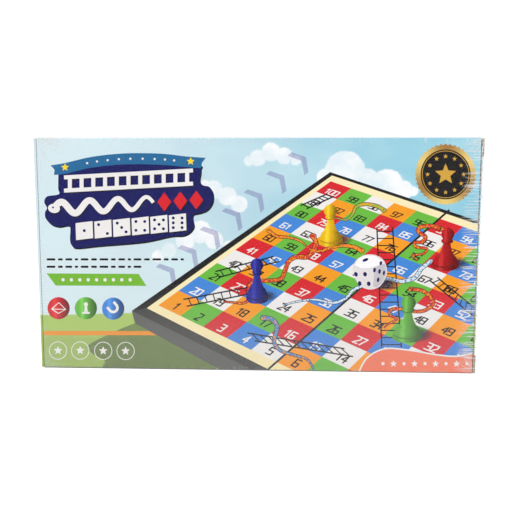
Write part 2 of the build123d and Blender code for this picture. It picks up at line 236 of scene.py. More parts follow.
class Tree:
    """One material's node tree."""

    def __init__(self, name, alpha=False):
        self.material = bpy.data.materials.new(name)
        self.material.use_nodes = True
        self.nodes = self.material.node_tree.nodes
        self.links = self.material.node_tree.links
        self.shader = self.nodes["Principled BSDF"]
        if alpha:
            self.material.surface_render_method = "BLENDED"

    def add(self, kind, settings=None, inputs=()):
        node = self.nodes.new(kind)
        for key, value in (settings or {}).items():
            setattr(node, key, value)
        pairs = inputs.items() if isinstance(inputs, dict) else enumerate(inputs)
        for key, value in pairs:
            self.feed(node.inputs[key], value)
        return node

    def feed(self, socket, value):
        if isinstance(value, Sock):
            self.links.new(value.socket, socket)
        else:
            socket.default_value = value

    def set(self, **values):
        names = {
            "color": "Base Color", "rough": "Roughness", "metal": "Metallic", "coat": "Coat Weight",
            "alpha": "Alpha", "normal": "Normal", "spec": "Specular IOR Level",
        }
        for key, value in values.items():
            self.feed(self.shader.inputs[names[key]], value)
        return self.material

    def place(self):
        """The piece's own coordinates, in millimetres."""
        coordinates = self.add("ShaderNodeTexCoord")
        scaled = self.add(
            "ShaderNodeVectorMath", {"operation": "SCALE"},
            {0: Sock(self, coordinates.outputs["Object"]), "Scale": 1000.0},
        )
        return Sock(self, scaled.outputs[0])

    def uv(self):
        return self.split(Sock(self, self.add("ShaderNodeTexCoord").outputs["UV"]))

    def split(self, vector):
        node = self.add("ShaderNodeSeparateXYZ", None, (vector,))
        return [Sock(self, node.outputs[i]) for i in range(3)]

    def join(self, x, y, z):
        return Sock(self, self.add("ShaderNodeCombineXYZ", None, (x, y, z)).outputs[0])

    def distance(self, vector, centre):
        """How far a place is from a fixed point."""
        node = self.add("ShaderNodeVectorMath", {"operation": "DISTANCE"}, {0: vector, 1: centre})
        return Sock(self, node.outputs["Value"])

    def noise(self, vector, scale, detail=2.0, rough=0.5):
        node = self.add(
            "ShaderNodeTexNoise", None,
            {"Vector": vector, "Scale": scale, "Detail": detail, "Roughness": rough},
        )
        return Sock(self, node.outputs[0])

    def blend(self, factor, first, second, kind="MIX"):
        node = self.add("ShaderNodeMix", {"data_type": "RGBA", "blend_type": kind})
        self.feed(node.inputs[0], factor)
        self.feed(node.inputs[6], first)
        self.feed(node.inputs[7], second)
        return Sock(self, node.outputs[2])

    def bump(self, height, strength, distance):
        node = self.add(
            "ShaderNodeBump", None, {"Strength": strength, "Distance": distance, "Height": height},
        )
        return Sock(self, node.outputs[0])


# Camera rays onto the printed front


def camera_axes():
    """Right, up and forward of the photograph's camera."""
    yaw, pitch, roll = (radians(a) for a in (CAMERA_YAW, CAMERA_PITCH, CAMERA_ROLL))
    forward = Vector((sin(yaw) * cos(pitch), cos(yaw) * cos(pitch), sin(pitch)))
    right = Vector((cos(yaw), -sin(yaw), 0))
    up = right.cross(forward)
    return right * cos(roll) + up * sin(roll), up * cos(roll) - right * sin(roll), forward


def on_face(pixel):
    """Where a pixel's ray meets the printed front: (x, z) in metres."""
    right, up, forward = camera_axes()
    focal = CAMERA_LENS / SENSOR * IMAGE_SIDE
    ray = forward + right * ((pixel[0] - IMAGE_SIDE / 2) / focal) + up * ((IMAGE_SIDE / 2 - pixel[1]) / focal)
    hit = CAMERA_PLACE + ray * ((FACE_Y - CAMERA_PLACE.y) / ray.y)
    return hit.x, hit.z


def projective(sources, targets):
    """A function that carries the four source points to the four targets in perspective."""
    rows, values = [], []
    for (x, y), (u, v) in zip(sources, targets):
        rows += [[x, y, 1, 0, 0, 0, -u * x, -u * y], [0, 0, 0, x, y, 1, -v * x, -v * y]]
        values += [u, v]
    h = np.linalg.solve(np.array(rows), np.array(values))

    def carry(point):
        x, y = point
        w = h[6] * x + h[7] * y + 1
        return (h[0] * x + h[1] * y + h[2]) / w, (h[3] * x + h[4] * y + h[5]) / w

    return carry


BOARD_MAP = projective(
    ((0, 10), (5, 10), (0, 0), (5, 0)), (BOARD_TOP, BOARD_FOLD_TOP, BOARD_LEFT, BOARD_FOLD_LOW),
)


def on_board(point):
    """A place on the pictured board, counted in squares from its left corner, as a pixel."""
    return BOARD_MAP(point)


# Outlines


def clip(points, low, high):
    """Cuts a convex-edged outline to the box from low to high."""
    for axis, limit, keep_low in (
        (0, low[0], False), (0, high[0], True), (1, low[1], False), (1, high[1], True),
    ):
        cut = []
        for here, there in zip(points, points[1:] + points[:1]):
            inside = here[axis] <= limit if keep_low else here[axis] >= limit
            next_inside = there[axis] <= limit if keep_low else there[axis] >= limit
            if inside:
                cut.append(here)
            if inside != next_inside:
                share = (limit - here[axis]) / (there[axis] - here[axis])
                cut.append((here[0] + (there[0] - here[0]) * share, here[1] + (there[1] - here[1]) * share))
        points = cut
        if len(points) < 3:
            return []
    return points


def ellipse(centre, half_width, half_height, turn=0.0, count=32):
    """An ellipse's outline, turned by so many degrees."""
    c, s = cos(radians(turn)), sin(radians(turn))
    points = []
    for i in range(count):
        x, y = half_width * cos(2 * pi * i / count), half_height * sin(2 * pi * i / count)
        points.append((centre[0] + x * c - y * s, centre[1] + x * s + y * c))
    return points


def star(centre, radius, inner=0.45, points=5):
    """A star's outline with one point upwards."""
    outline = []
    for i in range(2 * points):
        r = radius if i % 2 == 0 else radius * inner
        outline.append((centre[0] + r * sin(pi * i / points), centre[1] - r * cos(pi * i / points)))
    return outline


def between(start, stop, share):
    """The place so far along from start to stop."""
    return start[0] + (stop[0] - start[0]) * share, start[1] + (stop[1] - start[1]) * share


def smooth(points, count=8):
    """A smooth line through the points."""
    line = []
    padded = [points[0], *points, points[-1]]
    for a, b, c, d in zip(padded, padded[1:], padded[2:], padded[3:]):
        for i in range(count):
            t = i / count
            line.append(tuple(
                0.5 * (2 * b[k] + (c[k] - a[k]) * t + (2 * a[k] - 5 * b[k] + 4 * c[k] - d[k]) * t * t
                       + (3 * b[k] - a[k] - 3 * c[k] + d[k]) * t ** 3)
                for k in (0, 1)
            ))
    return line + [points[-1]]


def stroke(points, width, taper=0.0):
    """The quads of a drawn line, thinner towards its end by the share in taper."""
    quads = []
    sides = []
    for i, point in enumerate(points):
        before, after = points[max(i - 1, 0)], points[min(i + 1, len(points) - 1)]
        dx, dy = after[0] - before[0], after[1] - before[1]
        length = sqrt(dx * dx + dy * dy) or 1.0
        half = width / 2 * (1 - taper * (i / max(len(points) - 1, 1)) ** 2)
        sides.append(((point[0] - dy / length * half, point[1] + dx / length * half),
                      (point[0] + dy / length * half, point[1] - dx / length * half)))
    for (a, b), (c, d) in zip(sides, sides[1:]):
        quads.append([a, b, d, c])
    return quads


def disc(centre, radius, count=32):
    """A circle's outline."""
    return ellipse(centre, radius, radius, count=count)


def drawn(points, width, tone, taper=0.0):
    """A drawn line in one ink, as the quads of its stroke."""
    return [(quad, tone) for quad in stroke(points, width, taper)]


def pill(start, stop, radius):
    """A round-ended bar's outline."""
    angle = atan2(stop[1] - start[1], stop[0] - start[0])
    points = []
    for centre, base in ((stop, angle - pi / 2), (start, angle + pi / 2)):
        for i in range(13):
            a = base + pi * i / 12
            points.append((centre[0] + radius * cos(a), centre[1] + radius * sin(a)))
    return points


# Mesh pieces


def finish_piece(name, mesh, body, materials):
    """Links one finished mesh, and says what it rides on and whose finish it takes."""
    piece = bpy.data.objects.new(name, mesh)
    bpy.context.scene.collection.objects.link(piece)
    for material in materials:
        mesh.materials.append(material)
    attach(piece, body)
    return piece


def mesh_data(name, mesh):
    """The finished data of a mesh that was drawn face by face."""
    data = bpy.data.meshes.new(name)
    mesh.to_mesh(data)
    mesh.free()
    return data


def printed(name, shapes, layer, sheet=None):
    """A closed film of ink: shapes is a list of (outline, material), each outline in photograph pixels.

    With a play sheet's name the outlines are x and z in metres on that sheet's outer face.
    """
    materials = []
    mesh = bmesh.new()
    uv = mesh.loops.layers.uv.new("UVMap")
    low = (TUBE_LOW[0] + 0.1 * MM, FACE_BOTTOM + 0.3 * MM)
    high = (TUBE_HIGH[0] - 0.1 * MM, FACE_TOP - 0.3 * MM)
    face_y, way, body, slot = FACE_Y, -1, "carton", "board_tube"
    if sheet:
        low, high = [(corner[0], corner[2]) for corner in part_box(sheet)]
        slot = "play"
        if sheet.endswith("front"):
            face_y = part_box(sheet)[0][1]
        else:
            face_y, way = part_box(sheet)[1][1], 1
    back_y = face_y - SINK * way
    for number, (outline, material) in enumerate(shapes):
        front_y = face_y + (LAYER * layer + STEP * (number % STEPS)) * way
        if material not in materials:
            materials.append(material)
        flat = list(outline) if sheet else [on_face(p) for p in outline]
        box_low = [min(p[k] for p in flat) for k in (0, 1)]
        box_high = [max(p[k] for p in flat) for k in (0, 1)]
        points = clip(flat, low, high)
        if len(points) < 3:
            continue
        area = sum(a[0] * b[1] - b[0] * a[1] for a, b in zip(points, points[1:] + points[:1]))
        if abs(area) < 1e-10:
            continue
        if area < 0:
            points.reverse()
        fronts = [mesh.verts.new((x, front_y, z)) for x, z in points]
        backs = [mesh.verts.new((x, back_y, z)) for x, z in points]
        count = len(points)
        faces = []
        for corners in tessellate_polygon([[Vector((x, z, 0)) for x, z in points]]):
            a, b, c = corners
            (ax, az), (bx, bz), (cx, cz) = points[a], points[b], points[c]
            cross = (bx - ax) * (cz - az) - (cx - ax) * (bz - az)
            if abs(cross) < 1e-16:
                continue
            if cross < 0:
                b, c = c, b
            faces.append(mesh.faces.new((fronts[a], fronts[b], fronts[c])))
            faces.append(mesh.faces.new((backs[a], backs[c], backs[b])))
        for i in range(count):
            j = (i + 1) % count
            faces.append(mesh.faces.new((fronts[i], backs[i], backs[j], fronts[j])))
        for face in faces:
            face.material_index = materials.index(material)
            for loop in face.loops:
                u = (loop.vert.co.x - box_low[0]) / (box_high[0] - box_low[0])
                v = (loop.vert.co.z - box_low[1]) / (box_high[1] - box_low[1])
                loop[uv].uv = (u, v)
    if way > 0:
        bmesh.ops.reverse_faces(mesh, faces=mesh.faces)
    return finish_piece(name, mesh_data(name, mesh), body, materials)


# Materials

INKS = {}


def ink(name, dark=None, rough=0.35):
    """Printed colour with a faint dot grain; dark gives the far side of a rounded form."""
    key = (name, dark)
    if key in INKS:
        return INKS[key]
    tree = Tree(f"ink_{name}" + (f"_{dark}" if dark else ""))
    place = tree.place()
    grain = tree.noise(place, 3.2, 3.0) * 0.10 + tree.noise(place, 0.05, 2.0) * 0.12 + 0.89
    base = linear(*PALETTE[name])
    if dark:
        u, v, _ = tree.uv()
        bright = tuple(min(c * 1.7 + 0.05, 1.0) for c in base[:3]) + (1.0,)
        deep = tuple(c * 0.25 for c in base[:3]) + (1.0,)
        away = u.ramp(0.35, 1.0) + (1.0 - v).ramp(0.6, 1.3) * 0.4
        colour = tree.blend(away.math("MULTIPLY", 1.0, clamp=True), base, deep)
        colour = tree.blend((1.0 - abs(u - 0.33).ramp(0.0, 0.16)) * 0.45, colour, bright)
    else:
        colour = base
    colour = tree.blend(1.0, colour, tree.join(grain, grain, grain), "MULTIPLY")
    INKS[key] = tree.set(color=colour, rough=tree.noise(place, 1.4) * 0.15 + rough, spec=0.15)
    return INKS[key]


def spotted_ink(name, spots):
    """A snake's skin: one ink with small spots of another."""
    key = (name, "spots", spots)
    if key in INKS:
        return INKS[key]
    tree = Tree(f"ink_{name}_spots_{spots}")
    place = tree.place()
    mask = tree.noise(place, 0.9, 1.0).ramp(0.52, 0.6)
    colour = tree.blend(mask, linear(*PALETTE[name]), linear(*PALETTE[spots]))
    INKS[key] = tree.set(color=colour, rough=tree.noise(place, 1.4) * 0.15 + 0.35, spec=0.15)
    return INKS[key]


def shade_ink(name, strength):
    """Soft printed shadow, dark in the middle of its shape and clear at the rim."""
    tree = Tree(name, alpha=True)
    u, v, _ = tree.uv()
    reach = ((u - 0.5) * (u - 0.5) + (v - 0.5) * (v - 0.5)).math("SQRT")
    alpha = (1.0 - reach.ramp(0.1, 0.5)) * strength * (tree.noise(tree.place(), 0.8) * 0.2 + 0.9)
    return tree.set(color=linear(30, 26, 60), rough=0.4, alpha=alpha)


def outside_art(tree, place):
    """The print that wraps the carton: pale sky with clouds over a green field."""
    x, y, z = tree.split(place)
    across = FACE_X / MM
    sky = tree.blend(x.ramp(-across, across * 0.9), linear(212, 226, 233), linear(136, 200, 220))
    sky = tree.blend((1.0 - z.ramp(30.0, 90.0)) * 0.5, sky, linear(222, 238, 240))
    haze = tree.noise(tree.join(x * 0.5, y, z), 0.03, 3.0).ramp(0.35, 0.75) * 0.6
    sky = tree.blend(haze, sky, linear(212, 238, 242))
    flat = tree.join(x, 0.0, z)
    shore = None
    for px, py, size in CLOUDS:
        cx, cz = on_face((px, py))
        puff = tree.distance(flat, (cx / MM, 0.0, cz / MM)) - size * 0.6
        shore = puff if shore is None else shore.low(puff)
    edge = tree.noise(place, 0.35, 2.0) * 1.6 - 0.8
    cloud = 1.0 - (shore + edge).ramp(-0.7, 0.7)
    cloud_tone = tree.blend(
        tree.noise(place, 0.08, 3.0).ramp(0.3, 0.7), linear(250, 250, 251), linear(222, 236, 242),
    )
    sky = tree.blend(cloud * 0.97, sky, cloud_tone)
    line = on_face((60.0, 313.0))[1] / MM
    hill = z + (x * 0.035).math("SINE") * 1.2
    field = tree.blend((line - 12.0 - z).ramp(-3.0, 6.0), linear(170, 200, 92), linear(158, 184, 88))
    field = tree.blend(tree.noise(place, 0.35, 4.0) * 0.25, field, linear(158, 186, 100))
    return tree.blend((line - hill).ramp(-0.4, 0.6), sky, field)


def kraft_board(tree, place, z):
    """Brown board with the faint lines of its flutes."""
    kraft = tree.blend(tree.noise(place, 1.1, 4.0), linear(140, 106, 78), linear(180, 148, 116))
    return tree.blend(((z * 2.6).math("SINE") * 0.5 + 0.5) * 0.25, kraft, linear(112, 84, 60))


def wash(name, colour, strength):
    """A translucent ink, a little uneven."""
    tree = Tree(f"wash_{name}", alpha=True)
    uneven = tree.noise(tree.place(), 0.12, 3.0) * 0.3 + 0.85
    return tree.set(
        color=linear(*colour), rough=tree.noise(tree.place(), 1.4) * 0.15 + 0.35, alpha=uneven * strength,
    )


def carton_print():
    """The tube: printed outside, brown board inside and on the cut edges."""
    tree = Tree("carton_print")
    place = tree.place()
    _, y, z = tree.split(place)
    rim = (abs(y) - BACK_Y / MM).high(abs(z - FACE_MIDDLE / MM) - (FACE_TOP - FACE_BOTTOM) / 2 / MM)
    outside = rim.ramp(-0.45, -0.35)
    bump = tree.bump(tree.noise(place, 0.9, 3.0), 0.15, 0.0002)
    colour = tree.blend(outside, kraft_board(tree, place, z), outside_art(tree, place))
    return tree.set(color=colour, rough=0.62 - outside * 0.3, coat=outside * 0.3, normal=bump)


def flap_print():
    """End panels and flaps: printed outside and round the creases, brown board on the edges and inside."""
    tree = Tree("flap_print")
    place = tree.place()
    x, y, z = tree.split(place)
    half, depth = FACE_X / MM, BACK_Y / MM
    panel = abs(x).ramp(half - 0.06, half - 0.03)
    hinge_side = (x * y).over(0.0)
    hinge = hinge_side * abs(y).ramp(depth - 1.6, depth - 1.5)
    tuck = (1.0 - hinge_side) * abs(x).over(half - 0.75) * (abs(y) * -1.0).over(1.7 - depth)
    tuck = tuck * abs(y).over(depth - 3.4)
    outside = panel.high(hinge).high(tuck)
    bump = tree.bump(tree.noise(place, 1.2, 3.0), 0.2, 0.0002)
    colour = tree.blend(outside, kraft_board(tree, place, z), outside_art(tree, place))
    return tree.set(color=colour, rough=0.7 - outside * 0.35, coat=outside * 0.3, normal=bump)


def plain(name, colour, second, rough, scale=1.0, metal=0.0, coat=0.0, bump=0.1):
    """Moulded or rolled material with cloudy variation and a fine surface."""
    tree = Tree(name)
    place = tree.place()
    cloud = tree.noise(place, 0.08 * scale, 3.0)
    fine = tree.noise(place, 1.6 * scale, 3.0)
    return tree.set(
        color=tree.blend(cloud, linear(*colour), linear(*second)), rough=fine * 0.2 + rough, metal=metal,
        coat=coat, normal=tree.bump(fine, bump, 0.0001),
    )


def die_plastic():
    """White plastic with dark paint in the sunk pips."""
    tree = Tree("die_plastic")
    place = tree.place()
    x, y, z = tree.split(place)
    low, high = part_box("die")
    middle, half = [(a + b) / 2 / MM for a, b in zip(low, high)], (high[0] - low[0]) / 2 / MM
    off_x, off_y, off_z = abs(x - middle[0]), abs(y - middle[1]), abs(z - middle[2])
    depth = off_x.high(off_y).high(off_z)
    aside = off_x + off_y + off_z - depth - off_x.low(off_y).low(off_z)
    sunk = (depth * -1.0).over(0.06 - half) * (aside * -1.0).over(1.1 - half)
    grain = tree.noise(place, 0.6, 3.0)
    white = tree.blend(grain, linear(244, 243, 240), linear(230, 229, 226))
    colour = tree.blend(sunk, white, linear(28, 26, 70))
    return tree.set(color=colour, rough=grain * 0.2 + 0.2, coat=0.4)


def play_print():
    """The folded board's printed sheet: five rows of ten coloured squares inside a cream rim."""
    tree = Tree("play_print")
    place = tree.place()
    x, _, z = tree.split(place)
    low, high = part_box("play_sheet_front")
    columns, rows = 10, 5
    width, height = (high[0] - low[0]) / MM, (high[2] - low[2]) / MM
    u = (x - low[0] / MM - SHEET_RIM) * (columns / (width - 2 * SHEET_RIM))
    v = (z - low[2] / MM) * (rows / (height - SHEET_RIM))
    step = (u.math("FLOOR") + v.math("FLOOR") * 3.0).math("MODULO", 5.0)
    colour = linear(*PALETTE[SQUARES[0]])
    for number, name in enumerate(SQUARES[1:], 1):
        colour = tree.blend(step.over(number - 0.5), colour, linear(*PALETTE[name]))
    edge = (u * -1.0).high(u - columns).high(v - rows)
    colour = tree.blend(edge.over(0.0), colour, linear(*PALETTE["cream"]))
    grain = tree.noise(place, 2.6, 3.0) * 0.12 + 0.94
    colour = tree.blend(1.0, colour, tree.join(grain, grain, grain), "MULTIPLY")
    return tree.set(color=colour, rough=grain * 0.3, coat=0.4)


def film_look():
    """Clear shrink film: a faint haze and a painted reflection that whitens it more towards the bottom, white
    streaks of painted highlight drawn in from the sealed edges and corners, and a painted contact shadow
    along its foot.
    """
    tree = Tree("shrink_film", alpha=True)
    place = tree.place()
    x, y, z = tree.split(place)
    half, top, low = FACE_X / MM, FILM_HIGH[2] / MM, FILM_LOW[2] / MM
    right_edge, left_edge = half - x, x + half
    # White streaks of painted highlight: the glints of the film's creases near its edges and corners, painted
    # as white colour and alpha.
    across = tree.noise(tree.join(x * 0.05, y * 0.05, z), 1.1, 3.0).ramp(0.46, 0.68)
    along = tree.noise(tree.join(x, y * 0.05, z * 0.05), 0.9, 3.0).ramp(0.52, 0.75)
    reach = tree.noise(tree.join(0.0, y * 0.02, z), 0.35, 2.0).ramp(0.3, 0.7)
    painted_highlights = across * (1.0 - right_edge.ramp(1.5, 13.0)) * (reach * 0.7 + 0.3)
    painted_highlights = painted_highlights.high(across * (1.0 - left_edge.ramp(0.5, 6.0)) * reach * 0.6)
    painted_highlights = painted_highlights.high(along * (1.0 - (top - z).ramp(0.5, 5.0)) * 0.5)
    painted_highlights = painted_highlights.high(along * (1.0 - (z - low).ramp(0.5, 3.0)) * 0.4)
    for corner_x, corner_z, size, strength in (
        (half, top, 15, 0.8), (half, low, 16, 0.8), (-half, top, 22, 0.75), (-half, low, 16, 0.6),
    ):
        dx, dz = x - corner_x, z - corner_z
        angle = dz.math("ARCTAN2", dx)
        ray = tree.noise(tree.join(angle * 9.0, corner_x, corner_z), 1.4, 3.0).ramp(0.5, 0.68)
        near = (dx * dx + dz * dz).math("SQRT")
        painted_highlights = painted_highlights.high(ray * (1.0 - near.ramp(size * 0.25, size)) * strength)
    # A faint even haze of the film, plus a painted reflection that whitens the front more towards the bottom.
    veil = (0.003 + (1.0 - z.ramp(8.0, 60.0)) * 0.045) * bpy.context.scene.game_carton.veil
    # Painted contact shadow: a dark grey line along the film's foot, standing in for the shadow under the
    # box's bottom edge.
    painted_contact_shadow = 1.0 - (z - low).ramp(0.35, 1.0)
    alpha = (painted_highlights + veil).high(painted_contact_shadow * 0.6).math("MULTIPLY", 1.0, clamp=True)
    wrinkle = tree.bump(across + along, 0.3, 0.0003)
    colour = tree.blend(painted_contact_shadow, linear(250, 251, 252), linear(74, 76, 74))
    return tree.set(color=colour, rough=0.12, alpha=alpha, normal=wrinkle, spec=0.6)


# Operators, one for each piece or group of like pieces


class GameCartonSettings(bpy.types.PropertyGroup):
    # Strength of the film's faint haze and of its painted reflection on the lower front.
    veil: bpy.props.FloatProperty(
        name="Film Veil", description="Strength of the film's haze", default=1.0, min=0.0, max=3.0,
    )
    floor_side: bpy.props.FloatProperty(
        name="Floor Side", description="Side of the pale floor", default=6.0, unit="LENGTH",
    )
    floor_lift: bpy.props.FloatProperty(
        name="Floor Lift", description="What the camera adds to the floor's white", default=0.5,
    )
    key_power: bpy.props.FloatProperty(
        name="Key Light", description="Power of the soft key light", default=4.8, unit="POWER",
    )
    sky_strength: bpy.props.FloatProperty(
        name="Surround", description="Strength of the white surround", default=0.6,
    )


class GAMECARTON_OT_board(bpy.types.Operator):
    """Gives the carton's board its print and its brown inside"""

    bl_idname = "gamecarton.board"
    bl_label = "Carton Board"

    def execute(self, context):
        for name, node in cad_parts.items():
            if name == "carton_sleeve":
                paint(node, carton_print())
            elif "flap" in name or "closure" in name:
                paint(node, flap_print())
        return {"FINISHED"}


def paint(node, material):
    """Gives a CAD node one material."""
    node.data.materials.clear()
    node.data.materials.append(material)


class GAMECARTON_OT_case(bpy.types.Operator):
    """Finishes the folding board, its sheets, hinge pins, pawns, magnets and die"""

    bl_idname = "gamecarton.case"
    bl_label = "Folding Board"

    def execute(self, context):
        black = plain("case_plastic", (24, 24, 26), (34, 34, 36), 0.38, bump=0.2)
        steel = plain("sheet_steel", (150, 152, 156), (176, 178, 182), 0.28, metal=1.0)
        pin = plain("pin_steel", (160, 160, 164), (196, 196, 200), 0.22, scale=3.0, metal=1.0)
        ferrite = plain("ferrite", (46, 46, 48), (66, 66, 68), 0.5, scale=2.0, metal=0.3)
        play = play_print()
        for name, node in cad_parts.items():
            if name.startswith("case_"):
                paint(node, black)
            elif name.startswith("steel_sheet"):
                paint(node, steel)
            elif name.startswith("hinge_pin"):
                paint(node, pin)
            elif name.startswith("magnet"):
                paint(node, ferrite)
            elif name.startswith("play_sheet"):
                paint(node, play)
            elif name == "die":
                paint(node, die_plastic())
        for colour, tone in (
            ("red", (196, 20, 24)), ("yellow", (240, 190, 16)), ("blue", (38, 34, 130)),
            ("green", (52, 140, 54)),
        ):
            deep = tuple(int(c * 0.85) for c in tone)
            plastic = plain(f"pawn_plastic_{colour}", tone, deep, 0.2, coat=0.5)
            paint(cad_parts[f"pawn_{colour}"], plastic)
        print_sheets()
        return {"FINISHED"}


class GAMECARTON_OT_title(bpy.types.Operator):
    """Prints the wordless title plate with its ribbon, banner and small round signs"""

    bl_idname = "gamecarton.title"
    bl_label = "Title Plate"

    def execute(self, context):
        plate = smooth([*PLATE_OUTLINE, PLATE_OUTLINE[0]], 6)[:-1]
        printed("title_plate_shadow", [([(x + 1.2, y + 1.5) for x, y in plate], ink("ink"))], 2)
        printed("title_plate", [(plate, ink("navy"))], 3)
        print_title_motifs()
        top, low = smooth(list(RIBBON_TOP), 6), smooth(list(RIBBON_LOW), 6)
        right_notch, left_notch = RIBBON_NOTCHES
        printed("title_ribbon", [([*top, right_notch, *low, left_notch], ink("ribbon"))], 5)
        middle = [((a[0] + b[0]) / 2, (a[1] + b[1]) / 2) for a, b in zip(top, low[::-1])]
        stars = [(star(centre, STAR_RADIUS), ink("star")) for centre in STARS]
        beads = [(disc(centre, BEAD_RADIUS, 12), ink("white")) for centre in middle[11:-9:2]]
        printed("title_stars", stars + beads, 6)
        printed("banner", [(list(BANNER), ink("banner"))], 2)
        print_captions()
        dots = [(disc(centre, BANNER_DOT_RADIUS, 16), ink("white")) for centre in BANNER_DOTS]
        printed("banner_dots", dots, 3)
        return {"FINISHED"}


def print_captions():
    """Two rows of short dashes, faint chevrons up the sky, and the pictured board's shade on the field."""
    dashes = []
    for start, y, stop in CAPTION_ROWS:
        x, number = start, 0
        while x + CAPTION_LENGTHS[number % len(CAPTION_LENGTHS)] < stop:
            length = CAPTION_LENGTHS[number % len(CAPTION_LENGTHS)]
            ends = (x + CAPTION_RADIUS, y), (x + length - CAPTION_RADIUS, y)
            dashes.append((pill(*ends, CAPTION_RADIUS)[::3], ink("ink")))
            x += length + CAPTION_GAP
            number += 1
    printed("caption_dashes", dashes, 2)
    faint = wash("faint_lavender", (150, 140, 196), 0.34)
    chevrons = []
    (x0, y0), (x1, y1) = CHEVRON_START, CHEVRON_STOP
    reach = sqrt((x1 - x0) ** 2 + (y1 - y0) ** 2)
    ahead, aside = ((x1 - x0) / reach, (y1 - y0) / reach), ((y1 - y0) / reach, (x0 - x1) / reach)
    for i in range(CHEVRONS):
        cx, cy = between(CHEVRON_START, CHEVRON_STOP, (i + 0.5) / CHEVRONS)
        outline = []
        for u, v in ((-0.5, 1.0), (-0.1, 1.0), (0.5, 0.0), (-0.1, -1.0), (-0.5, -1.0), (0.05, 0.0)):
            dx, dy = u * ahead[0] + v * aside[0], u * ahead[1] + v * aside[1]
            outline.append((cx + dx * CHEVRON_SIZE, cy + dy * CHEVRON_SIZE))
        chevrons.append((outline, faint))
    printed("faint_chevrons", chevrons, 1)
    shade = smooth([*SHADE_OUTLINE, SHADE_OUTLINE[0]], 4)[:-1]
    printed("field_shade", [(shade, wash("field_shade", (82, 104, 62), 0.42))], 0.5)


def print_title_motifs():
    """Bold white motifs on the plate: a ladder, a snake with red lozenges, and a row of dice."""
    white, red, navy, black = ink("white"), ink("red"), ink("navy"), ink("ink")
    first, second, third = TITLE_ROWS
    motifs = []
    (x0, y0), (x1, y1), half = first
    for offset in (2 - half, half - 2):
        motifs += drawn([(x0, y0 + offset), (x1, y1 + offset)], 4.0, white)
    rungs = 11
    for i in range(rungs):
        x, y = between((x0, y0), (x1, y1), (i + 0.5) / rungs)
        motifs += drawn([(x, y - half + 1), (x, y + half - 1)], 4.0, white)
    (x0, y0), (x1, y1), half = second
    snake_end, turns, steps = x0 + (x1 - x0) * 0.66, 3.5, 70
    wave = []
    for i in range(steps + 1):
        t = i / steps
        x = x0 + 3 + (snake_end - x0 - 3) * t
        y = y0 + (y1 - y0) * (x - x0) / (x1 - x0)
        wave.append((x, y - (half - 3.4) * sin(2 * pi * turns * t)))
    motifs += drawn(wave, 6.8, white, 0.5)
    motifs.append((ellipse((wave[0][0], wave[0][1]), 6.0, 4.6, 10), white))
    for i in range(3):
        x = snake_end + 11 + 16.0 * i
        y = y0 + (y1 - y0) * (x - x0) / (x1 - x0)
        motifs.append(([(x, y - half), (x + 7, y), (x, y + half), (x - 7, y)], red))
    (x0, y0), (x1, y1), half = third
    pips = [(disc((wave[0][0] - 1, wave[0][1] - 1), 1.0, 14), navy)]
    dice = 6
    for i in range(dice):
        x, y = between((x0, y0), (x1, y1), (i + 0.5) / dice)
        lean = (y1 - y0) / (x1 - x0) * half
        motifs.append(([
            (x - half, y - half + 0.6 - lean), (x + half - 0.6, y - half + lean),
            (x + half, y + half - 0.6 + lean), (x - half + 0.6, y + half - lean),
        ], white))
        for dx, dy in DICE[i + 1]:
            pips.append((disc((x + dx * half * 0.5, y + dy * half * 0.5), 1.5, 14), navy))
    shadows = [([(x + 0.9, y + 1.1) for x, y in outline], black) for outline, _ in motifs]
    printed("title_motif_shadows", shadows, 3.5)
    printed("title_motifs", motifs, 4)
    printed("title_pips", pips, 5)


class GAMECARTON_OT_signs(bpy.types.Operator):
    """Prints the round signs, the gold seal, the ground stripe and the coral wave"""

    bl_idname = "gamecarton.signs"
    bl_label = "Printed Signs"

    def execute(self, context):
        printed("ground_stripe", [(list(GROUND_STRIPE), ink("amber"))], 1)
        discs = [(disc(centre, DISC_RADIUS, 48), ink(name, "round")) for centre, name in DISCS]
        printed("sign_discs", discs, 2)
        print_sign_marks()
        print_seal()
        print_wave()
        return {"FINISHED"}


def print_sign_marks():
    """A board, a pawn and a magnet on the discs, and a star in each ring below them."""
    white = ink("white")
    marks = drawn([*BOARD_SIGN, BOARD_SIGN[0]], 1.0, white)
    marks += drawn([BOARD_SIGN[0], BOARD_SIGN[2]], 0.8, white)
    cx, cy = DISCS[1][0]
    marks.append((disc((cx, cy - 3.8), 2.1, 20), white))
    for high, low, high_half, low_half in ((-2.2, 3.4, 1.1, 1.8), (3.6, 5.6, 3.6, 3.9)):
        marks.append(([
            (cx - high_half, cy + high), (cx + high_half, cy + high),
            (cx + low_half, cy + low), (cx - low_half, cy + low),
        ], white))
    (mx, my), bend = MAGNET_SIGN
    turns = [radians(angle + MAGNET_TURN) for angle in range(0, 181, 15)]
    bow = [(bend * cos(turn), bend * sin(turn)) for turn in turns]
    leg = (MAGNET_LEG * sin(radians(MAGNET_TURN)), -MAGNET_LEG * cos(radians(MAGNET_TURN)))
    bow = [(bow[0][0] + leg[0], bow[0][1] + leg[1]), *bow, (bow[-1][0] + leg[0], bow[-1][1] + leg[1])]
    marks += drawn([(mx + x, my + y) for x, y in bow], MAGNET_WIDTH, white)
    for centre in RINGS:
        outline = disc(centre, RING_RADIUS, 48)
        marks += drawn(outline + outline[:1], RING_LINE, white)
        marks.append((star(centre, RING_STAR), white))
    printed("sign_marks", marks, 3)


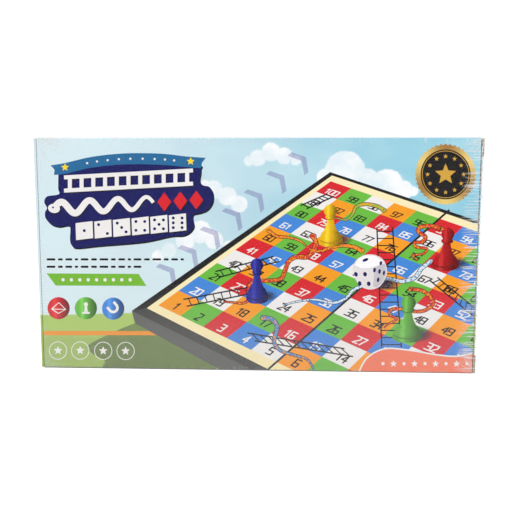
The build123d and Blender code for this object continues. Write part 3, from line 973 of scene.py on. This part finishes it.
def print_seal():
    """The gold seal with its scalloped rim, black middle and stars."""
    gold, steps = ink("gold"), 180
    scallop = []
    for i in range(steps):
        r = SEAL_RADIUS * (1 + SEAL_TOOTH * cos(SEAL_TEETH * 2 * pi * i / steps))
        angle = 2 * pi * i / steps
        scallop.append((SEAL_CENTRE[0] + r * cos(angle), SEAL_CENTRE[1] + r * sin(angle)))
    printed("seal_gold", [(scallop, gold_foil())], 2)
    printed("seal_black", [(disc(SEAL_CENTRE, SEAL_BLACK_RADIUS, 64), ink("ink"))], 3)
    ring = disc(SEAL_CENTRE, SEAL_LINE_RADIUS, 64)
    seal = drawn(ring + ring[:1], SEAL_LINE, gold)
    seal.append((star(SEAL_CENTRE, SEAL_STAR), gold))
    for i in range(SEAL_SMALL_STARS):
        a = 2 * pi * i / SEAL_SMALL_STARS
        place = (SEAL_CENTRE[0] + SEAL_STAR_CIRCLE * sin(a), SEAL_CENTRE[1] - SEAL_STAR_CIRCLE * cos(a))
        seal.append((star(place, SEAL_SMALL_STAR), gold))
    printed("seal_stars", seal, 4)


def print_wave():
    """The coral wave in the lower right corner, with a row of dots and stars."""
    white = ink("white")
    crest = smooth(list(WAVE_TOP), 8)
    printed("wave", [(crest + list(WAVE_FOOT), ink("coral"))], 14)
    edge = drawn(crest, WAVE_LINE, white)
    edge += [(disc(centre, WAVE_DOT_RADIUS, 16), white) for centre in WAVE_DOTS]
    edge += [(star(centre, WAVE_STAR_RADIUS), white) for centre in WAVE_STARS]
    printed("wave_edge", edge, 15)


def gold_foil():
    """Printed gold: bands of light and dark round the seal."""
    tree = Tree("gold_foil")
    x, _, z = tree.split(tree.place())
    cx, cz = on_face(SEAL_CENTRE)
    angle = (z - cz / MM).math("ARCTAN2", x - cx / MM)
    bands = (angle * 3.0).math("SINE") * 0.5 + 0.5
    teeth = (angle * 120.0).math("SINE") * 0.5 + 0.5
    colour = tree.blend(bands, linear(164, 116, 40), linear(240, 208, 116))
    return tree.set(color=tree.blend(teeth * 0.2, colour, linear(120, 84, 24)), rough=0.35, coat=0.3)


class GAMECARTON_OT_picture(bpy.types.Operator):
    """Prints the pictured board with its numbers, ladders and snakes"""

    bl_idname = "gamecarton.picture"
    bl_label = "Pictured Board"

    def execute(self, context):
        side = [FRAME_LEFT, SIDE_LEFT, SIDE_LOW, FRAME_LOW]
        top = [FRAME_LEFT, FRAME_TOP, FRAME_RIGHT, PICTURE_CORNER, FRAME_LOW]
        near = [FRAME_LEFT, RIM_LEFT, RIM_LOW, FRAME_LOW]
        border = [RIM_LEFT, RIM_TOP, RIM_RIGHT, PICTURE_CORNER, RIM_LOW]
        printed("picture_frame_side", [(side, ink("frame_side"))], 2)
        printed("picture_frame", [(top, ink("frame"))], 3)
        printed("picture_frame_near", [(near, ink("frame_near"))], 3.5)
        printed("picture_border", [(border, ink("cream"))], 4)
        squares = []
        for row in range(10):
            for column in range(10):
                corners = ((column, row), (column + 1, row), (column + 1, row + 1), (column, row + 1))
                squares.append(([on_board(c) for c in corners], ink(square_colour(row, column))))
        printed("picture_squares", squares, 5)
        fold = [on_board((5.0, -0.6)), on_board((5.0, 10.75))]
        printed("picture_fold", drawn(fold, 2.0, ink("frame")), 6)
        print_numbers()
        print_ladders()
        print_snakes()
        return {"FINISHED"}


def square_colour(row, column):
    """The colour of a pictured square; the top row has an order of its own."""
    return TOP_ROW[column] if row == 9 else SQUARES[(column + 3 * row) % 5]


def square_number(row, column):
    """A square's number, counted to and fro from the lower left."""
    return row * 10 + (column if row % 2 == 0 else 9 - column) + 1


def number_tone(colour):
    """White numbers on the darker squares and black on the others."""
    return ink("white") if colour in ("red", "blue") else ink("ink")


SHEET_LADDERS = (
    ((1.5, 0.5), (2.5, 3.6)), ((7.5, 0.5), (8.4, 2.5)), ((3.5, 2.6), (3.1, 5.6)), ((5.5, 4.4), (6.4, 7.6)),
    ((0.6, 6.4), (1.5, 8.6)), ((8.6, 7.4), (7.6, 9.4)),
)
SHEET_SNAKES = (
    ((6.6, 9.4), (4.4, 6.4), "brick", "amber"), ((2.5, 7.6), (1.4, 4.4), "pale_blue", "steel_blue"),
    ((9.4, 6.6), (8.4, 3.4), "snake_green", "orange"), ((5.5, 3.6), (6.6, 0.6), "steel_blue", "amber"),
    ((3.6, 9.4), (2.6, 8.3), "amber", "brick"), ((0.5, 3.5), (0.6, 1.4), "brick", "orange"),
)


def print_sheets():
    """Numbers, ladders and snakes on the two halves of the real board, which fold at its middle row line."""
    low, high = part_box("play_sheet_front")
    across = ((high[0] - low[0]) / MM - 2 * SHEET_RIM) / 10
    upward = ((high[2] - low[2]) / MM - SHEET_RIM) / 5
    numbers, rails, outlines, skins = [], [], [], []
    for row in range(10):
        for column in range(10):
            from_fold = row - 5 if row > 4 else 4 - row
            tone = number_tone(SQUARES[(column + 3 * from_fold) % 5])
            for place, digit in enumerate(str(square_number(row, column))):
                for bar in digit_shapes(digit):
                    left = column * across + DIGIT_MARGIN + place * DIGIT_PITCH
                    foot = (row - 5) * upward + DIGIT_MARGIN
                    outline = [(left + u * DIGIT_WIDTH, foot + v * DIGIT_HEIGHT) for u, v in bar]
                    numbers.append((outline, tone))
    black = ink("ink")
    for start, stop in SHEET_LADDERS:
        start_place, stop_place = [(u * across, (v - 5) * upward) for u, v in (start, stop)]
        (x0, y0), (x1, y1) = start_place, stop_place
        reach = sqrt((x1 - x0) ** 2 + (y1 - y0) ** 2)
        side = (RAIL_OFFSET * (y1 - y0) / reach, -RAIL_OFFSET * (x1 - x0) / reach)
        for way in (-1, 1):
            rail = [(x0 + way * side[0], y0 + way * side[1]), (x1 + way * side[0], y1 + way * side[1])]
            rails += drawn(rail, RAIL_WIDTH, black)
        rungs = int(reach / RUNG_PITCH)
        for i in range(rungs):
            x, y = between(start_place, stop_place, (i + 0.6) / rungs)
            rung = [(x - side[0], y - side[1]), (x + side[0], y + side[1])]
            rails += drawn(rung, RUNG_WIDTH, black)
    for head, tail, skin, spots in SHEET_SNAKES:
        (x0, y0), (x1, y1) = [(u * across, (v - 5) * upward) for u, v in (head, tail)]
        reach = sqrt((x1 - x0) ** 2 + (y1 - y0) ** 2)
        line = []
        for i in range(SNAKE_STEPS + 1):
            t = i / SNAKE_STEPS
            sway = sin(t * pi * reach / SNAKE_BEND) * SNAKE_SWAY
            x, y = between((x0, y0), (x1, y1), t)
            line.append((x + sway * (y1 - y0) / reach, y - sway * (x1 - x0) / reach))
        skin = spotted_ink(skin, spots)
        outlines += drawn(line, SNAKE_RIM, black, 0.6)
        outlines.append((disc(line[0], SNAKE_HEAD_RIM), black))
        skins += drawn(line, SNAKE_WIDTH, skin, 0.75)
        skins.append((disc(line[0], SNAKE_HEAD), skin))
    prints = (("numbers", numbers), ("ladders", rails), ("snake_rims", outlines), ("snakes", skins))
    for half, way in (("front", 1), ("back", -1)):
        for layer, (name, shapes) in enumerate(prints, 1):
            placed = []
            for outline, tone in shapes:
                if max(y * way for _, y in outline) < 0.2:
                    continue
                corners = [(low[0] + (SHEET_RIM + x) * MM, low[2] + y * way * MM) for x, y in outline]
                placed.append((corners, tone))
            printed(f"sheet_{half}_{name}", placed, layer, f"play_sheet_{half}")


def print_numbers():
    """Plain numbers from 1 to 100, drawn in the board's perspective."""
    shapes = []
    for row in range(10):
        for column in range(10):
            tone = number_tone(square_colour(row, column))
            digits = str(square_number(row, column))
            for place, digit in enumerate(digits):
                for outline in digit_shapes(digit):
                    points = []
                    for u, v in outline:
                        across = 0.36 + (place - (len(digits) - 1) / 2) * 0.2 + u * 0.16
                        points.append(on_board((column + across + 0.1, row + 0.14 + v * 0.34)))
                    shapes.append((points, tone))
    printed("picture_numbers", shapes, 7)


SEGMENTS = {
    "0": ((0, 0, 1, 0), (1, 0, 1, 2), (1, 2, 0, 2), (0, 2, 0, 0)),
    "1": ((0.6, 0, 0.6, 2), (0.6, 2, 0.15, 1.6)),
    "2": ((1, 0, 0, 0), (0, 0, 1, 1.2), (1, 1.2, 1, 2), (1, 2, 0, 2)),
    "3": ((0, 0, 1, 0), (1, 0, 1, 2), (1, 2, 0, 2), (0.3, 1, 1, 1)),
    "4": ((0.8, 0, 0.8, 2), (0.8, 2, 0, 0.7), (0, 0.7, 1.1, 0.7)),
    "5": ((0, 0, 1, 0), (1, 0, 1, 1.1), (1, 1.1, 0, 1.1), (0, 1.1, 0, 2), (0, 2, 1, 2)),
    "6": ((0, 0, 1, 0), (1, 0, 1, 1), (1, 1, 0, 1), (0, 0, 0, 2), (0, 2, 1, 2)),
    "7": ((0.35, 0, 1, 2), (1, 2, 0, 2)),
    "8": ((0, 0, 1, 0), (1, 0, 1, 2), (1, 2, 0, 2), (0, 2, 0, 0), (0, 1, 1, 1)),
    "9": ((1, 0, 1, 2), (1, 2, 0, 2), (0, 2, 0, 1), (0, 1, 1, 1), (0, 0, 1, 0)),
}


def digit_shapes(digit):
    """The bars of one digit in a box one wide and one high."""
    shapes = []
    for x0, y0, x1, y1 in SEGMENTS[digit]:
        shapes.append(pill((x0, y0), (x1, y1), 0.17)[::2])
    return [[(x, y / 2) for x, y in outline] for outline in shapes]


LADDERS = (
    ((183.4, 299.4), (248.8, 287.2), (186.7, 306.2), (250.0, 293.8), 8),
    ((215.4, 271.5), (273.6, 256.5), (218.7, 277.4), (279.5, 261.1), 7),
    ((247.5, 333.0), (344.4, 348.7), (254.6, 340.8), (353.0, 356.5), 12),
    ((376.9, 227.1), (381.7, 347.4), (392.5, 227.1), (401.3, 347.4), 17),
    ((437.3, 277.4), (478.0, 310.8), (429.4, 280.0), (478.0, 320.0), 9),
    ((300.7, 205.5), (327.5, 193.8), (306.5, 208.8), (334.0, 196.4), 7),
)
SNAKES = (
    (((269, 231), (276.9, 236.2), (288.6, 237.5), (300, 240.8), (307.8, 247.4)), 2.6, "amber", "brick"),
    (
        (
            (313, 236.2), (316, 245), (308, 256.5), (296, 257), (288.6, 261.7), (285.4, 269.6),
            (280.8, 278.7), (267.7, 280.7), (254.6, 281.3), (248.8, 286), (250.7, 296), (244.2, 302.9),
            (232.4, 302.3), (223.3, 301.6),
        ),
        4.0, "brick", "amber",
    ),
    (
        ((361.4, 250.6), (354.9, 247.4), (343.1, 245.4), (331.4, 247.4), (319.6, 251.3), (309, 249)), 3.6,
        "amber", "brick",
    ),
    (
        (
            (430.7, 261.7), (421.6, 268.3), (415, 277.4), (402, 281.3), (386.3, 278.7), (368, 282),
            (360.1, 286.6), (352.3, 290.5), (345.8, 298.3), (332.7, 302.9), (315.7, 299.6), (300, 301),
            (283, 305),
        ),
        3.6, "pale_blue", "steel_blue",
    ),
    (
        (
            (441.8, 229.1), (430.7, 225.8), (420.3, 227.1), (418.3, 231.7), (425.5, 236.9), (421.6, 242.1),
            (414.7, 242.5), (416.3, 247), (426.8, 248.7), (422.9, 253.9), (412.4, 255.2), (417.6, 259.8),
        ),
        3.4, "brick", "orange",
    ),
    (
        (
            (411, 289.2), (421.6, 290.5), (430.7, 297), (433.3, 303.6), (425.5, 310.1), (415, 311.4),
            (399.3, 308.8), (390.2, 310.1), (390.2, 315.3), (396.7, 319), (388, 324), (384, 328),
        ),
        3.2, "brick", "orange",
    ),
    (
        (
            (383.7, 210.1), (377.1, 206.2), (365.4, 204.2), (356.2, 206.8), (352.3, 214.7), (345.8, 219.9),
            (335.9, 217.9),
        ),
        3.2, "snake_green", "orange",
    ),
    (
        (
            (263.8, 317.9), (271.6, 319.2), (276.9, 325.8), (275.6, 334.9), (274.2, 342.8), (280.8, 350.6),
            (293.9, 355), (307.8, 359.8), (314.4, 371),
        ),
        4.0, "steel_blue", "amber",
    ),
)


def print_ladders():
    """Two rails and evenly spaced rungs for each ladder."""
    shapes = []
    black = ink("ink")
    for a, b, c, d, rungs in LADDERS:
        for start, stop in ((a, b), (c, d)):
            shapes += drawn([start, stop], 1.35, black)
        for i in range(rungs):
            t = (i + 0.6) / rungs
            shapes += drawn([between(a, b, t), between(c, d, t)], 1.05, black)
    printed("picture_ladders", shapes, 8)


def print_snakes():
    """Each snake: a dark outline, a spotted skin that thins to the tail, and a head with an eye."""
    outlines, skins, eyes = [], [], []
    for points, width, skin, spots in SNAKES:
        line = smooth(list(points), 8)
        spotted = spotted_ink(skin, spots)
        outlines += drawn(line, width + 1.1, ink("ink"), 0.6)
        outlines.append((ellipse(line[0], width * 0.8 + 0.5, width * 0.62 + 0.5), ink("ink")))
        skins += drawn(line, width, spotted, 0.75)
        skins.append((ellipse(line[0], width * 0.8, width * 0.62), spotted))
        eyes.append((disc((line[0][0], line[0][1] - width * 0.15), 0.5, 12), ink("ink")))
    printed("picture_snake_outlines", outlines, 9)
    printed("picture_snakes", skins, 10)
    printed("picture_snake_eyes", eyes, 11)


PAWNS = (
    ((330.3, 210.8), (330.7, 238.5), 6.3, 12.2, "pawn_yellow"),
    ((256.9, 265.0), (257.2, 295.0), 6.5, 11.2, "pawn_blue"),
    ((447.7, 234.3), (445.1, 262.6), 6.4, 14.0, "pawn_red"),
    ((408.5, 302.9), (407.2, 333.6), 7.2, 15.0, "pawn_green"),
)
PAWN_PROFILE = (
    (0.92, 0.26), (0.80, 0.28), (0.77, 0.31), (0.73, 0.27), (0.66, 0.27), (0.52, 0.33), (0.40, 0.42),
    (0.29, 0.55), (0.20, 0.68), (0.14, 0.80), (0.06, 0.86), (0.00, 0.97), (-0.08, 1.0), (-0.15, 0.97),
    (-0.22, 0.84), (-0.27, 0.62), (-0.29, 0.32),
)
PAWN_RINGS = ((0.78, 0.42, 0.05), (0.17, 0.78, 0.09), (0.02, 0.93, 0.14))


class GAMECARTON_OT_pawns(bpy.types.Operator):
    """Prints the four pictured pawns and the die with their shadows"""

    bl_idname = "gamecarton.pawns"
    bl_label = "Pictured Pawns"

    def execute(self, context):
        shade = shade_ink("picture_shadow", 0.75)
        shadows, bodies, heads = [], [], []
        for head, foot, head_radius, foot_radius, tone in PAWNS:
            shadow_place = foot[0] + foot_radius * 0.75, foot[1] + 1.0
            shadows.append((ellipse(shadow_place, foot_radius * 1.25, foot_radius * 0.55, -12), shade))
            height = foot[1] - head[1]
            right, left = [], []
            for rise, share in PAWN_PROFILE:
                x, y = between(foot, head, rise)
                right.append((x + share * foot_radius, y))
                left.append((x - share * foot_radius, y))
            bodies.append((right + left[::-1], ink(tone, "round")))
            for rise, share, thick in PAWN_RINGS:
                centre = between(foot, head, rise)
                rim = share * foot_radius, thick * height + 0.9
                heads.append((ellipse((centre[0], centre[1] + 0.9), *rim, count=36), ink(f"{tone}_rim")))
                heads.append((ellipse(centre, *rim, count=36), ink(tone, "round")))
            heads.append((ellipse(head, head_radius, head_radius * 1.02, count=40), ink(tone, "round")))
        shadows.append((ellipse(*DIE_SHADOW), shade))
        printed("picture_shadows", shadows, 12)
        printed("picture_pawns", bodies, 12.5)
        printed("picture_pawn_heads", heads, 13)
        print_die()
        return {"FINISHED"}


DIE_SHADOW = ((385.0, 284.0), 18.0, 8.0, -8)
DIE_OUTLINE = (
    (352.5, 268.0), (355.5, 261.0), (362.0, 256.0), (370.0, 254.3), (378.0, 256.0), (383.8, 260.5),
    (386.7, 268.0), (386.3, 276.0), (382.0, 284.0), (376.5, 288.3), (369.0, 289.4), (361.0, 286.5),
    (355.5, 279.5),
)
DIE_TOP = (
    (354.5, 265.0), (358.5, 258.5), (366.0, 255.2), (375.0, 255.8), (382.5, 260.8), (379.5, 264.5),
    (371.0, 267.8), (361.0, 268.2),
)
DIE_RIGHT = (
    (374.5, 268.0), (380.5, 264.6), (385.0, 263.5), (386.0, 269.0), (385.6, 276.0), (381.6, 283.6),
    (376.4, 287.6), (373.2, 286.4),
)
PIPS = (
    ((365.4, 259.9), 3.1, 1.5, -22), ((355.9, 274.2), 1.8, 2.4, -20), ((365.0, 274.2), 1.9, 2.3, -10),
    ((359.7, 283.4), 1.8, 2.3, -20), ((368.7, 283.7), 1.9, 2.3, -10), ((380.8, 263.1), 1.3, 2.1, 10),
    ((374.5, 270.0), 1.4, 2.4, 8), ((379.5, 271.4), 1.3, 2.4, 8), ((383.9, 272.9), 1.1, 2.4, 8),
    ((378.1, 279.8), 1.3, 2.3, 10),
)


def print_die():
    """The pictured die: a rounded white cube with its lit top, darker right side and navy pips."""
    body = smooth(list(DIE_OUTLINE) + [DIE_OUTLINE[0]], 5)[:-1]
    printed("picture_die", [(body, tint("die_side", (226, 220, 222)))], 12.5)
    faces = [
        (list(DIE_TOP), tint("die_top", (250, 248, 249))),
        (list(DIE_RIGHT), tint("die_right", (196, 190, 198))),
    ]
    printed("picture_die_faces", faces, 13)
    printed("picture_die_pips", [(ellipse(c, w, h, turn, 20), ink("pip")) for c, w, h, turn in PIPS], 14)


def tint(name, colour):
    """A pale ink with a little grain."""
    tree = Tree(f"tint_{name}")
    place = tree.place()
    grain = tree.noise(place, 0.6, 3.0) * 0.14 + 0.93
    colour = tree.blend(1.0, linear(*colour), tree.join(grain, grain, grain), "MULTIPLY")
    return tree.set(color=colour, rough=0.35, coat=0.25)


def film_outline(gap):
    """The tube's outline in Y and Z, with its long edges rounded, so much outside the board."""
    radius = BOARD / 2 + gap
    half, low, high = BACK_Y + gap, FACE_BOTTOM - gap, FACE_TOP + gap
    centres = (
        (half - radius, high - radius), (radius - half, high - radius), (radius - half, low + radius),
        (half - radius, low + radius),
    )
    points = []
    for quarter, (y, z) in enumerate(centres):
        for step in range(5):
            turn = pi / 2 * (quarter + step / 4)
            points.append((y + radius * cos(turn), z + radius * sin(turn)))
    return points


def film_tube():
    """The film round the tube: an outer and an inner skin joined at both ends."""
    mesh = bmesh.new()
    rings = []
    for x, gap in (
        (TUBE_LOW[0], FILM_OUTER), (TUBE_HIGH[0], FILM_OUTER), (TUBE_HIGH[0], FILM_INNER),
        (TUBE_LOW[0], FILM_INNER),
    ):
        rings.append([mesh.verts.new((x, y, z)) for y, z in film_outline(gap)])
    for first, second in zip(rings, rings[1:] + rings[:1]):
        for i in range(len(first)):
            j = (i + 1) % len(first)
            mesh.faces.new((first[i], first[j], second[j], second[i]))
    return film_piece("film_tube", mesh, "carton", "film_sleeve")


def film_cap(side, way):
    """The film over one end: a plate with lips round the closure's three free edges."""
    mesh = bmesh.new()
    inner_x, outer_x = FACE_X - FILM_LIP, FACE_X + FILM_OUTER
    hinge_y, lip_y = BACK_Y - BOARD / 2, -BACK_Y - FILM_OUTER
    low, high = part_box(f"film_{side}_end")[0][2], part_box(f"film_{side}_end")[1][2]
    corners = {}
    for key, x in (("in", inner_x), ("out", outer_x)):
        for y in (hinge_y, lip_y):
            for z in (low, high):
                corners[key, y, z] = mesh.verts.new((way * x, way * y, z))
    for face in (
        (("out", hinge_y, low), ("out", hinge_y, high), ("out", lip_y, high), ("out", lip_y, low)),
        (("in", lip_y, low), ("out", lip_y, low), ("out", lip_y, high), ("in", lip_y, high)),
        (("in", hinge_y, low), ("out", hinge_y, low), ("out", lip_y, low), ("in", lip_y, low)),
        (("in", lip_y, high), ("out", lip_y, high), ("out", hinge_y, high), ("in", hinge_y, high)),
    ):
        mesh.faces.new([corners[corner] for corner in face])
    bmesh.ops.recalc_face_normals(mesh, faces=mesh.faces)
    outwards = sum(face.normal.x * way for face in mesh.faces)
    if outwards < 0:
        bmesh.ops.reverse_faces(mesh, faces=mesh.faces)
    bmesh.ops.solidify(mesh, geom=mesh.faces[:], thickness=FILM_OUTER - FILM_INNER)
    return film_piece(f"film_cap_{side}", mesh, f"{side}_closure", f"film_{side}_end")


def film_piece(name, mesh, body, node):
    """Finishes one closed skin of film that stands for a CAD node."""
    bmesh.ops.recalc_face_normals(mesh, faces=mesh.faces)
    piece = finish_piece(name, mesh_data(name, mesh), body, [film_look()])
    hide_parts(node)
    return piece


class GAMECARTON_OT_film(bpy.types.Operator):
    """Draws the shrink film over the tube and both ends"""

    bl_idname = "gamecarton.film"
    bl_label = "Shrink Film"

    def execute(self, context):
        film_tube()
        film_cap("right", 1)
        film_cap("left", -1)
        return {"FINISHED"}


class GAMECARTON_OT_stage(bpy.types.Operator):
    """Adds the pale floor, the soft light and the photograph's camera"""

    bl_idname = "gamecarton.stage"
    bl_label = "Stage"

    def execute(self, context):
        settings = context.scene.game_carton
        scene = context.scene
        scene.view_settings.view_transform = "Standard"
        world = bpy.data.worlds.new("surround")
        world.use_nodes = True
        scene.world = world
        nodes, links = world.node_tree.nodes, world.node_tree.links
        background = nodes["Background"]
        background.inputs["Color"].default_value = (1, 1, 1, 1)
        background.inputs["Strength"].default_value = settings.sky_strength
        seen = nodes.new("ShaderNodeBackground")
        seen.inputs["Color"].default_value = (1, 1, 1, 1)
        seen.inputs["Strength"].default_value = 1.05
        path = nodes.new("ShaderNodeLightPath")
        mix = nodes.new("ShaderNodeMixShader")
        links.new(path.outputs["Is Camera Ray"], mix.inputs[0])
        links.new(background.outputs[0], mix.inputs[1])
        links.new(seen.outputs[0], mix.inputs[2])
        links.new(mix.outputs[0], nodes["World Output"].inputs["Surface"])
        mesh = bmesh.new()
        bmesh.ops.create_grid(mesh, x_segments=8, y_segments=8, size=settings.floor_side / 2)
        data = mesh_data("floor", mesh)
        floor = bpy.data.objects.new("floor", data)
        scene.collection.objects.link(floor)
        tree = Tree("floor_white")
        uneven = tree.noise(tree.place(), 0.02) * 0.1 + 0.8
        data.materials.append(tree.set(color=(0.97, 0.97, 0.97, 1.0), rough=uneven, spec=0.0))
        seen_only = tree.add("ShaderNodeLightPath")
        share = Sock(tree, seen_only.outputs["Is Camera Ray"])
        tree.feed(tree.shader.inputs["Emission Color"], tree.join(share, share, share))
        tree.shader.inputs["Emission Strength"].default_value = settings.floor_lift
        for name, place, size, power in (
            ("key", (-0.35, -0.75, 0.95), 0.7, settings.key_power),
            ("fill", (0.7, -0.6, 0.5), 0.8, settings.key_power * 0.5),
        ):
            lamp = bpy.data.lights.new(name, "AREA")
            lamp.size = size
            lamp.energy = power
            light = bpy.data.objects.new(name, lamp)
            scene.collection.objects.link(light)
            light.location = place
            light.rotation_mode = "QUATERNION"
            light.rotation_quaternion = (Vector((0, 0, FACE_MIDDLE)) - Vector(place)).to_track_quat("-Z", "Y")
        lens = bpy.data.cameras.new("camera")
        lens.lens = CAMERA_LENS
        lens.sensor_width = SENSOR
        lens.clip_start = 0.01
        camera = bpy.data.objects.new("camera", lens)
        scene.collection.objects.link(camera)
        right, up, forward = camera_axes()
        camera.location = CAMERA_PLACE
        camera.rotation_mode = "QUATERNION"
        camera.rotation_quaternion = axes_quaternion(right, up, -forward)
        scene.camera = camera
        return {"FINISHED"}


def axes_quaternion(x, y, z):
    """The turn that carries the world's axes to these three."""
    return Matrix((x, y, z)).transposed().to_quaternion()


class GAMECARTON_PT_panel(bpy.types.Panel):
    bl_idname = "GAMECARTON_PT_panel"
    bl_label = "Game Carton"
    bl_space_type = "VIEW_3D"
    bl_region_type = "UI"
    bl_category = "Game Carton"

    def draw(self, context):
        for operator in OPERATORS:
            self.layout.operator(operator.bl_idname)


OPERATORS = (
    GAMECARTON_OT_board, GAMECARTON_OT_case, GAMECARTON_OT_title, GAMECARTON_OT_signs,
    GAMECARTON_OT_picture, GAMECARTON_OT_pawns, GAMECARTON_OT_film, GAMECARTON_OT_stage,
)
CLASSES = (GameCartonSettings, *OPERATORS, GAMECARTON_PT_panel)


def register():
    for cls in CLASSES:
        bpy.utils.register_class(cls)
    bpy.types.Scene.game_carton = bpy.props.PointerProperty(type=GameCartonSettings)


def unregister():
    del bpy.types.Scene.game_carton
    for cls in reversed(CLASSES):
        bpy.utils.unregister_class(cls)


def main():
    register()
    bpy.ops.gamecarton.board()
    bpy.ops.gamecarton.case()
    bpy.ops.gamecarton.title()
    bpy.ops.gamecarton.signs()
    bpy.ops.gamecarton.picture()
    bpy.ops.gamecarton.pawns()
    bpy.ops.gamecarton.film()
    bpy.ops.gamecarton.stage()


if __name__ == "__main__":
    main()
